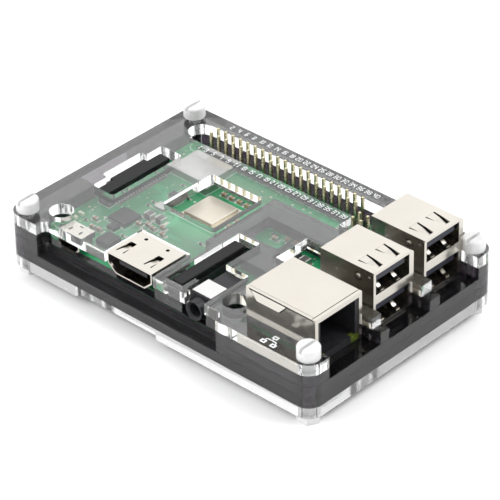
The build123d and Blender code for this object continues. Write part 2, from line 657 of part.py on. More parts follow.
with BuildPart() as network_jack_shell:
    block(JACK_X, JACK_Y, (PORT_LIFT, JACK_TOP))
    block(
        (JACK_X[0] + SHELL_T, JACK_X[1] - SHELL_T), JACK_INNER_Y, (PORT_LIFT - EPS, JACK_TOP - SHELL_T),
        mode=Mode.SUBTRACT,
    )
    block((JACK_X[1] - 1, PAST_RIGHT), JACK_OPEN_Y, (PORT_LIFT - EPS, JACK_OPEN_Z[1]), mode=Mode.SUBTRACT)
    block(
        grow((JACK_COLLAR_X, JACK_COLLAR_X), JACK_GROOVE), grow(JACK_Y, 1), (JACK_TOP - JACK_GROOVE, JACK_TOP + 1),
        mode=Mode.SUBTRACT,
    )
    block(JACK_SLIT_X, (JACK_Y[0] - 1, JACK_Y[0] + SHELL_T / 2), JACK_SLIT_Z, mode=Mode.SUBTRACT)

with BuildPart() as network_jack_insert:
    block((JACK_X[0] + SHELL_T, JACK_X[1] - SHELL_T), JACK_INNER_Y, (PORT_LIFT, JACK_TOP - SHELL_T))
    block(JACK_CAVITY_X, JACK_PLUG_Y, JACK_PLUG_Z, mode=Mode.SUBTRACT)
    for led_side in (JACK_OPEN_Y[0], JACK_OPEN_Y[1] - JACK_LED_W):
        block(
            (JACK_X[1] - SHELL_T - JACK_LED_DEPTH, PAST_RIGHT),
            (led_side, led_side + JACK_LED_W),
            (PORT_LIFT, PORT_LIFT + JACK_LED_H),
            mode=Mode.SUBTRACT,
        )

with BuildPart() as network_jack_leds:
    for led_side in (JACK_OPEN_Y[0], JACK_OPEN_Y[1] - JACK_LED_W):
        block(
            (JACK_X[1] - SHELL_T - JACK_LED_DEPTH, JACK_X[1] - SHELL_T),
            (led_side, led_side + JACK_LED_W),
            (PORT_LIFT, PORT_LIFT + JACK_LED_H),
        )

with BuildPart() as network_jack_contacts:
    for way in range(JACK_CONTACTS):
        way_y = JACK_MID_Y + (way - (JACK_CONTACTS - 1) / 2) * JACK_CONTACT_PITCH
        block(
            (JACK_CAVITY_X[0], JACK_X[1] - JACK_CAVITY_DEPTH / 2),
            grow((way_y, way_y), JACK_CONTACT_W / 2),
            (JACK_PLUG_Z[1] - JACK_CONTACT_T, JACK_PLUG_Z[1]),
        )


# ---- Front ports ----
def port_profile(x_span, floor_x, z_span, side_z, inset):
    """Corners of a socket outline with sloped lower corners, on the port plane."""
    return [
        (bx(x_span[0] + inset), DECK_Z + z_span[1] - inset),
        (bx(x_span[1] - inset), DECK_Z + z_span[1] - inset),
        (bx(x_span[1] - inset), DECK_Z + side_z + inset / 2),
        (bx(floor_x[1] - inset / 2), DECK_Z + z_span[0] + inset),
        (bx(floor_x[0] + inset / 2), DECK_Z + z_span[0] + inset),
        (bx(x_span[0] + inset), DECK_Z + side_z + inset / 2),
    ]


with BuildPart() as video_port_shell:
    with BuildSketch(Plane.XZ.offset(-by(VIDEO_Y[1]))):
        with BuildLine():
            Polyline(*port_profile(VIDEO_X, VIDEO_FLOOR_X, VIDEO_Z, VIDEO_SIDE_Z, 0), close=True)
        make_face()
    extrude(amount=VIDEO_Y[1] - VIDEO_Y[0])
    with BuildSketch(Plane.XZ.offset(-by(VIDEO_Y[1] - SHELL_T))):
        with BuildLine():
            Polyline(*port_profile(VIDEO_X, VIDEO_FLOOR_X, VIDEO_Z, VIDEO_SIDE_Z, SHELL_T), close=True)
        make_face()
    extrude(amount=VIDEO_Y[1] - VIDEO_Y[0] + EPS, mode=Mode.SUBTRACT)
    for spring_x in VIDEO_SPRINGS_X:
        with BuildSketch(Plane.XY.offset(DECK_Z + VIDEO_Z[1])):
            with BuildLine():
                Polyline(*video_window(spring_x), close=True)
            make_face()
        extrude(amount=-SHELL_T, mode=Mode.SUBTRACT)
    with BuildSketch(Plane.XY.offset(DECK_Z + VIDEO_Z[1] - SHELL_T)):
        with Locations(*[(bx(spot[0]), by(spot[1])) for spot in VIDEO_HOLES]):
            Circle(VIDEO_HOLE_R)
    extrude(amount=2 * SHELL_T, mode=Mode.SUBTRACT)
    for foot_x in (VIDEO_X[0], VIDEO_X[1] - SHELL_T):
        for foot_y in (TAILS[19][1], TAILS[21][1]):
            block((foot_x, foot_x + SHELL_T), grow((foot_y, foot_y), 1), (0, VIDEO_SIDE_Z + 1))

with BuildPart() as video_port_tongue:
    block(*VIDEO_TONGUE)
    block(
        (VIDEO_FLOOR_X[0], VIDEO_FLOOR_X[1]),
        (VIDEO_TONGUE[1][1], VIDEO_Y[1] - SHELL_T),
        (VIDEO_SIDE_Z - 1, VIDEO_Z[1] - SHELL_T),
    )

with BuildPart() as video_port_contacts:
    for way in range(VIDEO_CONTACTS):
        way_x = sum(VIDEO_TONGUE[0]) / 2 + (way - (VIDEO_CONTACTS - 1) / 2) * 2 * VIDEO_CONTACT_W
        block(
            grow((way_x, way_x), VIDEO_CONTACT_W / 2),
            (VIDEO_TONGUE[1][0] + EPS, VIDEO_TONGUE[1][1]),
            (VIDEO_TONGUE[2][0] - VIDEO_CONTACT_T, VIDEO_TONGUE[2][0]),
        )

with BuildPart() as micro_port_shell:
    with BuildSketch(Plane.XZ.offset(-by(MICRO_Y[1]))):
        with BuildLine():
            Polyline(*port_profile(MICRO_X, MICRO_FLOOR_X, MICRO_Z, MICRO_SIDE_Z, 0), close=True)
        make_face()
    extrude(amount=MICRO_Y[1] - MICRO_Y[0])
    with BuildSketch(Plane.XZ.offset(-by(MICRO_Y[1] - SHELL_T))):
        with BuildLine():
            Polyline(*port_profile(MICRO_X, MICRO_FLOOR_X, MICRO_Z, MICRO_SIDE_Z, SHELL_T), close=True)
        make_face()
    extrude(amount=MICRO_Y[1] - MICRO_Y[0] + EPS, mode=Mode.SUBTRACT)
    for foot_x in (MICRO_X[0], MICRO_X[1] - SHELL_T):
        block((foot_x, foot_x + SHELL_T), (1.4, 3.2), (0, MICRO_SIDE_Z + EPS))

with BuildPart() as micro_port_tongue:
    block(*MICRO_TONGUE)
    block(MICRO_FLOOR_X, (MICRO_TONGUE[1][1], MICRO_Y[1] - SHELL_T), (MICRO_SIDE_Z, MICRO_Z[1] - SHELL_T))

with BuildPart() as audio_jack_body:
    block(AUDIO_X, (AUDIO_Y[0], AUDIO_STEP_Y), AUDIO_Z)
    block(AUDIO_X, (AUDIO_STEP_Y, AUDIO_Y[1]), (AUDIO_Z[0], AUDIO_STEP_Z))
    with BuildSketch(Plane.XZ.offset(-by(AUDIO_Y[0]))):
        with Locations((bx(AUDIO_CENTRE[0]), DECK_Z + AUDIO_CENTRE[1])):
            Circle(AUDIO_NOSE_R)
    extrude(amount=AUDIO_Y[0] - AUDIO_NOSE_Y)
    with BuildSketch(Plane.XZ.offset(-by(AUDIO_NOSE_Y + AUDIO_BORE_DEPTH))):
        with Locations((bx(AUDIO_CENTRE[0]), DECK_Z + AUDIO_CENTRE[1])):
            Circle(AUDIO_BORE_R)
    extrude(amount=AUDIO_BORE_DEPTH + EPS, mode=Mode.SUBTRACT)
    chamfer(audio_jack_body.faces().sort_by(Axis.Y)[0].inner_wires().edges(), EPS)
    for foot_y in (AUDIO_Y[0] + 1, AUDIO_Y[1] - 2):
        block(AUDIO_X, (foot_y, foot_y + 1), (0, AUDIO_Z[0]))

with BuildPart() as audio_jack_plate:
    block(*AUDIO_PLATE)

with BuildPart() as audio_jack_contacts:
    for side_x in (AUDIO_X[0] - AUDIO_TAB[0], AUDIO_X[1]):
        for tab_y in AUDIO_TABS_Y:
            block((side_x, side_x + AUDIO_TAB[0]), grow((tab_y, tab_y), AUDIO_TAB[1] / 2), (0, AUDIO_TAB[2]))


# ---- Ribbon connectors ----
def ribbon_feet(x_span, y_span):
    """A row of solder feet beside a ribbon connector."""
    middle = sum(y_span) / 2
    for way in range(RIBBON_WAYS):
        way_y = middle + (way - (RIBBON_WAYS - 1) / 2) * RIBBON_PITCH
        block(x_span, grow((way_y, way_y), RIBBON_FOOT[0] / 2), (0, RIBBON_FOOT[1]))


with BuildPart() as camera_connector_body:
    block(*CAMERA_BODY)
    block(*CAMERA_WELL, mode=Mode.SUBTRACT)

with BuildPart() as camera_connector_contacts:
    ribbon_feet(CAMERA_FEET, CAMERA_BODY[1])

with BuildPart() as camera_latch:
    block(*CAMERA_LATCH)
    fillet(camera_latch.edges().filter_by(Axis.Y).sort_by(Axis.Z)[-2:], LATCH_EDGE_R)
    block(*CAMERA_BLADE)

with BuildPart() as display_connector_body:
    block(*DISPLAY_BODY)
    block(*DISPLAY_WELL, mode=Mode.SUBTRACT)

with BuildPart() as display_connector_contacts:
    ribbon_feet(DISPLAY_FEET, DISPLAY_BODY[1])

with BuildPart() as display_latch:
    block(*DISPLAY_LATCH)
    block(*DISPLAY_LATCH_STEP)
    fillet(display_latch.edges().filter_by(Axis.Y).sort_by(Axis.Z)[-2:], LATCH_EDGE_R)
    block(*DISPLAY_BLADE)

# ---- Memory card and socket under the board ----
SOCKET_Z = (-BOARD_T - SOCKET_T, -BOARD_T)
CARD_X = (-CARD_OUT, CARD_L - CARD_OUT)
CARD_SPAN_Y = grow((CARD_Y, CARD_Y), CARD_W / 2)
CARD_SPAN_Z = (-BOARD_T - CARD_DROP - CARD_T, -BOARD_T - CARD_DROP)
CARD_CLEAR = 0.06

with BuildPart() as card_socket:
    block(SOCKET_X, SOCKET_Y, SOCKET_Z)
    block(
        (SOCKET_X[0] - EPS, CARD_X[1] + EPS), grow(CARD_SPAN_Y, CARD_CLEAR), grow(CARD_SPAN_Z, CARD_CLEAR),
        mode=Mode.SUBTRACT,
    )

with BuildPart() as memory_card:
    block(CARD_X, CARD_SPAN_Y, CARD_SPAN_Z)
    fillet(memory_card.edges().filter_by(Axis.Z), COVER_LEVEL_R)

# ---- Export ----
NODES = {
    "base_plate": base_plate,
    "lower_frame": lower_frame,
    "middle_frame": middle_frame,
    "upper_frame": upper_frame,
    "top_cover": top_cover,
    "case_bolts": case_bolts,
    "case_nuts": case_nuts,
    "circuit_board": circuit_board,
    "solder_tails": solder_tails,
    "processor_package": processor_package,
    "processor_lid": processor_lid,
    "rf_shield": rf_shield,
    "hub_chip": hub_chip,
    "power_chip": power_chip,
    "small_chips": small_chips,
    "memory_chip": memory_chip,
    "capacitors": capacitors,
    "resistors": resistors,
    "inductors": inductors,
    "crystal_cans": crystal_cans,
    "status_leds": status_leds,
    "header_body": header_body,
    "header_pins": header_pins,
    "power_header_body": power_header_body,
    "power_header_pins": power_header_pins,
    "usb_stack_a_shell": usb_stack_a_shell,
    "usb_stack_a_insert": usb_stack_a_insert,
    "usb_stack_a_contacts": usb_stack_a_contacts,
    "usb_stack_b_shell": usb_stack_b_shell,
    "usb_stack_b_insert": usb_stack_b_insert,
    "usb_stack_b_contacts": usb_stack_b_contacts,
    "network_jack_shell": network_jack_shell,
    "network_jack_insert": network_jack_insert,
    "network_jack_contacts": network_jack_contacts,
    "network_jack_leds": network_jack_leds,
    "video_port_shell": video_port_shell,
    "video_port_tongue": video_port_tongue,
    "video_port_contacts": video_port_contacts,
    "micro_port_shell": micro_port_shell,
    "micro_port_tongue": micro_port_tongue,
    "audio_jack_body": audio_jack_body,
    "audio_jack_plate": audio_jack_plate,
    "audio_jack_contacts": audio_jack_contacts,
    "camera_connector_body": camera_connector_body,
    "camera_connector_contacts": camera_connector_contacts,
    "camera_latch": camera_latch,
    "display_connector_body": display_connector_body,
    "display_connector_contacts": display_connector_contacts,
    "display_latch": display_latch,
    "card_socket": card_socket,
    "memory_card": memory_card,
}

for label, node in NODES.items():
    node.part.label = label
    export_step(node.part, "parts/" + label + ".step")
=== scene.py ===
import math
import random

import bmesh
import bpy
from mathutils import Matrix, Vector


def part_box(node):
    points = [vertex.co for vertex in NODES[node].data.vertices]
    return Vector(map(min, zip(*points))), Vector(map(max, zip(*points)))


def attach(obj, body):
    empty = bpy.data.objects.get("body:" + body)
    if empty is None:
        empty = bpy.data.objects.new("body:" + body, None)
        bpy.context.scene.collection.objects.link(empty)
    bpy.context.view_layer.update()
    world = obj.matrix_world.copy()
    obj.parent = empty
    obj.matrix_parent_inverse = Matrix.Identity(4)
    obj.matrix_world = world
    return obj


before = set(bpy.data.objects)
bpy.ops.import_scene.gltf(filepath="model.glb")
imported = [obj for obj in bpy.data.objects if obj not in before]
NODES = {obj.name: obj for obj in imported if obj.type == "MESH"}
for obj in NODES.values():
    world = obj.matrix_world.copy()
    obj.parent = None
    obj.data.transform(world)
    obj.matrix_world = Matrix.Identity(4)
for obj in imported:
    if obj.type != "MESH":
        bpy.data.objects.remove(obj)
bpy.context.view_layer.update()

BODY = "computer"
MM = 0.001
SEED = 7
rng = random.Random(SEED)


# ---------------------------------------------------------------- node helpers
RAMP_SPAN = (0.3, 0.7)


class Shader:
    """A small wrapper that builds one procedural material."""

    def __init__(self, name):
        self.mat = bpy.data.materials.new(name)
        self.mat.use_nodes = True
        self.tree = self.mat.node_tree
        self.tree.nodes.clear()
        self.out = self.tree.nodes.new("ShaderNodeOutputMaterial")

    def add(self, kind, values=None, links=None, **props):
        node = self.tree.nodes.new(kind)
        for key, value in props.items():
            setattr(node, key, value)
        for key, value in (values or {}).items():
            node.inputs[key].default_value = value
        for key, source in (links or {}).items():
            self.link(source, node, key)
        return node

    def pick(self, source):
        """The output socket of a node, or of a (node, socket) pair."""
        return source[0].outputs[source[1]] if isinstance(source, tuple) else source.outputs[0]

    def link(self, source, target, key):
        self.tree.links.new(self.pick(source), target.inputs[key])

    def noise(self, scale, detail=3.0, stretch=(1, 1, 1)):
        base = self.add("ShaderNodeTexCoord")
        where = self.add("ShaderNodeMapping", {"Scale": stretch}, {"Vector": (base, "Object")})
        values = {"Scale": scale, "Detail": detail, "Roughness": 0.55}
        return self.add("ShaderNodeTexNoise", values, {"Vector": where})

    def ramp(self, source, low, high):
        """Two colours blended over the middle of a texture's range."""
        node = self.add("ShaderNodeValToRGB", links={"Fac": source})
        for element, spot, color in zip(node.color_ramp.elements, RAMP_SPAN, (low, high)):
            element.position = spot
            element.color = (*color, 1.0)
        return node

    def grey_ramp(self, source, span):
        """A roughness that wanders between two values."""
        return self.ramp(source, (span[0],) * 3, (span[1],) * 3)

    def math(self, operation, *values):
        node = self.add("ShaderNodeMath", operation=operation)
        for key, value in enumerate(values):
            if isinstance(value, (int, float)):
                node.inputs[key].default_value = value
            else:
                self.link(value, node, key)
        return node

    def bump(self, height, strength, distance):
        return self.add("ShaderNodeBump", {"Strength": strength, "Distance": distance}, {"Height": height})

    def principled(self, values, links=None):
        node = self.add("ShaderNodeBsdfPrincipled", values, links)
        self.link(node, self.out, "Surface")
        return node


# ---------------------------------------------------------------- materials
ACRYLIC_IOR = 1.49
CUT_EDGE_RISE = 0.5
STREAK_SCALE = 900
STREAK_STRETCH = (1, 1, 0.05)
STREAK_WEAR = (0.5, 0.72)
STREAK_BUMP = (0.25, 0.00004)
# texture scales, and the strength and depth of each bump
NYLON_GRAIN = 800
NYLON_BUMP = (0.12, 0.00008)
NYLON_GLOW = {"Subsurface Weight": 0.25, "Subsurface Radius": (0.6, 0.6, 0.6), "Subsurface Scale": 0.002}
METAL_CLOUD = 90
METAL_BUMP = (0.02, 0.00001)
PLASTIC_GRAIN = 700
PLASTIC_BUMP = (0.06, 0.00006)
BOARD_CLOUD = 60
WEAVE_SIZE = {"Scale": 420.0, "Mortar Size": 0.06, "Mortar Smooth": 0.4}
WEAVE_SHARE = 0.18
WEAVE_BUMP = (0.12, 0.00003)


def acrylic(name, color, face_clear, edge_clear, edge_rough, tint=None, density=0.0):
    """Sheet acrylic: polished faces, and laser-cut edges that scatter a little light."""
    s = Shader(name)
    where = s.add("ShaderNodeTexCoord")
    facing = s.add("ShaderNodeSeparateXYZ", links={"Vector": (where, "Normal")})
    side = s.math("LESS_THAN", s.math("ABSOLUTE", (facing, 2)), CUT_EDGE_RISE)
    streaks = s.noise(STREAK_SCALE, stretch=STREAK_STRETCH)
    wear = s.math("MULTIPLY_ADD", (streaks, 0), *STREAK_WEAR)
    rough = s.math("MULTIPLY", s.math("MULTIPLY", side, edge_rough), wear)
    clear = s.math("SUBTRACT", face_clear, s.math("MULTIPLY", side, face_clear - edge_clear))
    bump = s.bump(s.math("MULTIPLY", (streaks, 0), side), *STREAK_BUMP)
    s.principled(
        {"Base Color": (*color, 1), "IOR": ACRYLIC_IOR},
        {"Normal": bump, "Roughness": rough, "Transmission Weight": clear},
    )
    if tint:
        fog = s.add("ShaderNodeVolumeAbsorption", {"Color": (*tint, 1), "Density": density})
        s.link(fog, s.out, "Volume")
    return s.mat


def nylon():
    """Milky white plastic that lets a little light in."""
    s = Shader("nylon_mat")
    fine = s.noise(NYLON_GRAIN, 4.0)
    tint = s.ramp((fine, 0), (0.62, 0.625, 0.62), (0.69, 0.695, 0.69))
    bump = s.bump((fine, 0), *NYLON_BUMP)
    s.principled({"Roughness": 0.35, **NYLON_GLOW}, {"Base Color": tint, "Normal": bump})
    return s.mat


def metal(name, low, high, rough=(0.22, 0.34), scale=320, stretch=(1, 1, 6)):
    """Plated or brushed sheet metal."""
    s = Shader(name)
    cloud = s.noise(METAL_CLOUD)
    grain = s.noise(scale, stretch=stretch)
    tint = s.ramp((cloud, 0), low, high)
    roughness = s.grey_ramp((grain, 0), rough)
    bump = s.bump((grain, 0), *METAL_BUMP)
    s.principled({"Metallic": 1.0}, {"Base Color": tint, "Roughness": roughness, "Normal": bump})
    return s.mat


def plastic(name, low, high, rough=(0.35, 0.5), gloss=0.3):
    """Moulded plastic, ceramic or ink with a fine grain."""
    s = Shader(name)
    fine = s.noise(PLASTIC_GRAIN, 4.0)
    tint = s.ramp((fine, 0), low, high)
    roughness = s.grey_ramp((fine, 0), rough)
    bump = s.bump((fine, 0), *PLASTIC_BUMP)
    s.principled({"Specular IOR Level": gloss}, {"Base Color": tint, "Roughness": roughness, "Normal": bump})
    return s.mat


def solder_mask():
    """Green board lacquer over a faint weave."""
    s = Shader("board_mat")
    base = s.ramp((s.noise(BOARD_CLOUD), 0), (0.010, 0.31, 0.10), (0.020, 0.39, 0.145))
    where = s.add("ShaderNodeMapping", links={"Vector": (s.add("ShaderNodeTexCoord"), "Object")})
    weave = s.add("ShaderNodeTexBrick", WEAVE_SIZE, {"Vector": where})
    woven = {"data_type": "RGBA", "blend_type": "MULTIPLY"}
    color = s.add("ShaderNodeMix", {0: WEAVE_SHARE}, {6: base, 7: weave}, **woven)
    bump = s.bump((weave, 1), *WEAVE_BUMP)
    s.principled({"Roughness": 0.28, "IOR": 1.5}, {"Base Color": (color, 2), "Normal": bump})
    return s.mat


def matt(name, color):
    """A plain surface without shine, for the stage."""
    s = Shader(name)
    s.principled({"Base Color": (*color, 1), "Roughness": 0.9, "Specular IOR Level": 0.0})
    return s.mat


SMOKE_COLOR = (0.97, 0.96, 0.98)
SMOKE_TINT = (0.30, 0.26, 0.31)
CLEAR_COLOR = (0.985, 0.99, 0.99)
BASE_COLOR = (0.985, 0.985, 0.985)
BASE_TINT = (0.80, 0.80, 0.80)

M_CLEAR = acrylic("clear_acrylic_mat", CLEAR_COLOR, face_clear=1.0, edge_clear=0.97, edge_rough=0.05)
M_BASE = acrylic(
    "base_acrylic_mat", BASE_COLOR, face_clear=1.0, edge_clear=0.93, edge_rough=0.07,
    tint=BASE_TINT, density=22.0,
)
M_SMOKE = acrylic(
    "smoke_acrylic_mat", SMOKE_COLOR, face_clear=0.995, edge_clear=0.982, edge_rough=0.10,
    tint=SMOKE_TINT, density=860.0,
)
M_LOWER = acrylic(
    "dark_acrylic_mat", SMOKE_COLOR, face_clear=0.99, edge_clear=0.985, edge_rough=0.10,
    tint=SMOKE_TINT, density=980.0,
)
M_NYLON = nylon()
M_NICKEL = metal("nickel_mat", (0.565, 0.535, 0.48), (0.60, 0.57, 0.52), (0.16, 0.22))
M_CAN = metal("can_mat", (0.44, 0.435, 0.42), (0.60, 0.595, 0.58), (0.32, 0.5), scale=140, stretch=(1, 1, 1))
M_LID = metal("lid_mat", (0.63, 0.585, 0.50), (0.70, 0.655, 0.575), (0.3, 0.42), scale=500, stretch=(8, 1, 1))
M_PLATE = metal("plate_mat", (0.60, 0.60, 0.59), (0.68, 0.68, 0.67), (0.2, 0.3))
M_SOLDER = metal("solder_mat", (0.46, 0.455, 0.44), (0.60, 0.59, 0.57), (0.28, 0.44))
M_GOLD = metal("gold_mat", (0.60, 0.55, 0.36), (0.72, 0.67, 0.46), (0.22, 0.34))
M_BOARD = solder_mask()
M_PACKAGE = plastic("package_mat", (0.03, 0.26, 0.11), (0.05, 0.32, 0.15), (0.25, 0.35))
M_BLACK = plastic("black_plastic_mat", (0.012, 0.012, 0.014), (0.022, 0.022, 0.025))
M_LATCH = plastic("latch_mat", (0.006, 0.006, 0.007), (0.012, 0.012, 0.013), (0.3, 0.42), gloss=0.16)
M_CHIP = plastic("chip_mat", (0.02, 0.02, 0.023), (0.035, 0.035, 0.04), (0.4, 0.55))
M_TAN = plastic("ceramic_mat", (0.30, 0.19, 0.11), (0.42, 0.28, 0.17), (0.3, 0.4))
M_RESIST = plastic("film_mat", (0.02, 0.02, 0.022), (0.04, 0.04, 0.045), (0.25, 0.35))
M_FERRITE = plastic("ferrite_mat", (0.10, 0.095, 0.09), (0.16, 0.155, 0.15), (0.45, 0.6))
M_LENS = plastic("lens_mat", (0.70, 0.72, 0.55), (0.80, 0.82, 0.66), (0.2, 0.3))
M_TONGUE = plastic("tongue_mat", (0.016, 0.017, 0.028), (0.026, 0.027, 0.042), (0.3, 0.45))
M_JACKLED = plastic("jack_led_mat", (0.055, 0.075, 0.012), (0.09, 0.12, 0.02), (0.2, 0.3))
M_SILK = plastic("silkscreen_mat", (0.72, 0.74, 0.73), (0.82, 0.84, 0.83), (0.5, 0.65), gloss=0.2)
M_ETCH = plastic("etched_mark_mat", (0.74, 0.75, 0.76), (0.86, 0.87, 0.88), (0.6, 0.75), gloss=0.2)
M_TRACE = plastic("trace_mat", (0.035, 0.45, 0.19), (0.055, 0.53, 0.24), (0.25, 0.35), gloss=0.4)
M_TIN = metal("tin_pad_mat", (0.62, 0.60, 0.52), (0.76, 0.74, 0.66), (0.3, 0.45))
# a near-black for dark plates that paint shade into gaps, slits and port walls
M_PAINTED_SHADE = plastic("painted_shade_mat", (0.010, 0.009, 0.008), (0.018, 0.016, 0.014), (0.5, 0.6), gloss=0.1)
M_CARD = plastic("card_mat", (0.015, 0.015, 0.02), (0.03, 0.03, 0.035), (0.35, 0.45))

DRESSED = (
    (M_CLEAR, ("top_cover",)),
    (M_BASE, ("base_plate",)),
    (M_SMOKE, ("middle_frame", "upper_frame")),
    (M_LOWER, ("lower_frame",)),
    (M_NYLON, ("case_bolts", "case_nuts")),
    (M_BOARD, ("circuit_board",)),
    (M_SOLDER, (
        "solder_tails", "audio_jack_contacts", "camera_connector_contacts", "display_connector_contacts",
    )),
    (M_PACKAGE, ("processor_package",)),
    (M_CAN, ("rf_shield", "crystal_cans")),
    (M_LID, ("processor_lid",)),
    (M_PLATE, ("audio_jack_plate",)),
    (M_CHIP, ("hub_chip", "power_chip", "small_chips", "memory_chip")),
    (M_TAN, ("capacitors",)),
    (M_RESIST, ("resistors",)),
    (M_FERRITE, ("inductors",)),
    (M_LENS, ("status_leds",)),
    (M_BLACK, (
        "header_body", "power_header_body", "network_jack_insert", "video_port_tongue", "micro_port_tongue",
        "audio_jack_body", "camera_connector_body", "display_connector_body",
    )),
    (M_LATCH, ("camera_latch", "display_latch")),
    (M_GOLD, (
        "header_pins", "power_header_pins", "usb_stack_a_contacts", "usb_stack_b_contacts",
        "network_jack_contacts", "video_port_contacts",
    )),
    (M_NICKEL, (
        "usb_stack_a_shell", "usb_stack_b_shell", "network_jack_shell", "video_port_shell",
        "micro_port_shell", "card_socket",
    )),
    (M_TONGUE, ("usb_stack_a_insert", "usb_stack_b_insert")),
    (M_JACKLED, ("network_jack_leds",)),
    (M_CARD, ("memory_card",)),
)
for material, names in DRESSED:
    for name in names:
        NODES[name].data.materials.clear()
        NODES[name].data.materials.append(material)


# ---------------------------------------------------------------- softened edges
SHEET_GAP = 0.04
SHEET_EDGES = {
    "top_cover": 0.15, "base_plate": 0.15, "upper_frame": 0.2, "middle_frame": 0.2, "lower_frame": 0.2,
}
# node names, edge width, rounding steps
SOFTENED = (
    (("usb_stack_a_shell", "usb_stack_b_shell", "network_jack_shell"), 0.35, 3),
    (("header_pins", "power_header_pins"), 0.16, 1),
    (("camera_latch", "display_latch", "processor_lid", "rf_shield"), 0.12, 2),
)
SHARP_ANGLE = math.radians(40)


def soften(name, width, segments=2):
    """Round a CAD node's sharp edges for the picture."""
    mod = NODES[name].modifiers.new("soften", "BEVEL")
    mod.width = width * MM
    mod.segments = segments
    mod.limit_method = "ANGLE"
    mod.angle_limit = SHARP_ANGLE
    mod.harden_normals = False
    mod.use_clamp_overlap = True


def shrink(name, amount):
    """Leave a hair of air between sheets that lie on each other."""
    mod = NODES[name].modifiers.new("air_gap", "DISPLACE")
    mod.direction = "NORMAL"
    mod.mid_level = 0.0
    mod.strength = -amount * MM


for name, edge in SHEET_EDGES.items():
    shrink(name, SHEET_GAP)
    soften(name, edge)
for names, edge, steps in SOFTENED:
    for name in names:
        soften(name, edge, steps)


# ---------------------------------------------------------------- making pieces
BOARD_LOW, BOARD_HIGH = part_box("circuit_board")


def at(x, y, z):
    """A point given in millimetres from the board's front left corner and above its deck."""
    return Vector((BOARD_LOW.x + x * MM, BOARD_LOW.y + y * MM, BOARD_HIGH.z + z * MM))


def on_board(point):
    """A world point given in board millimetres."""
    return ((point.x - BOARD_LOW.x) / MM, (point.y - BOARD_LOW.y) / MM, (point.z - BOARD_HIGH.z) / MM)


def node_span(name):
    """A CAD node's lowest and highest corners in board millimetres."""
    low_corner, high_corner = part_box(name)
    return on_board(low_corner), on_board(high_corner)


def islands(name):
    """The separate solids of a CAD node, as lowest and highest corners in board millimetres."""
    mesh = NODES[name].data
    parent = {}

    def root(key):
        while parent[key] != key:
            parent[key] = parent[parent[key]]
            key = parent[key]
        return key

    keys = [tuple(round(c, 6) for c in v.co) for v in mesh.vertices]
    for key in keys:
        parent.setdefault(key, key)
    for face in mesh.polygons:
        first = root(keys[face.vertices[0]])
        for index in face.vertices[1:]:
            parent[root(keys[index])] = first
    groups = {}
    for key in parent:
        groups.setdefault(root(key), []).append(key)
    boxes = []
    for points in groups.values():
        low_corner = Vector([min(p[i] for p in points) for i in range(3)])
        high_corner = Vector([max(p[i] for p in points) for i in range(3)])
        boxes.append((on_board(low_corner), on_board(high_corner)))
    return sorted(boxes)


def around(value, reach):
    """A span of the same reach on both sides of a value."""
    return (value - reach, value + reach)


def moved_by(value, span):
    """A small span counted from a value."""
    return (value + span[0], value + span[1])


def circle(x, y, radius, sides):
    """Points round a circle or, with two radii, an ellipse."""
    wide, tall = radius if isinstance(radius, tuple) else (radius, radius)
    turns = [math.tau * i / sides for i in range(sides)]
    return [(x + wide * math.cos(turn), y + tall * math.sin(turn)) for turn in turns]


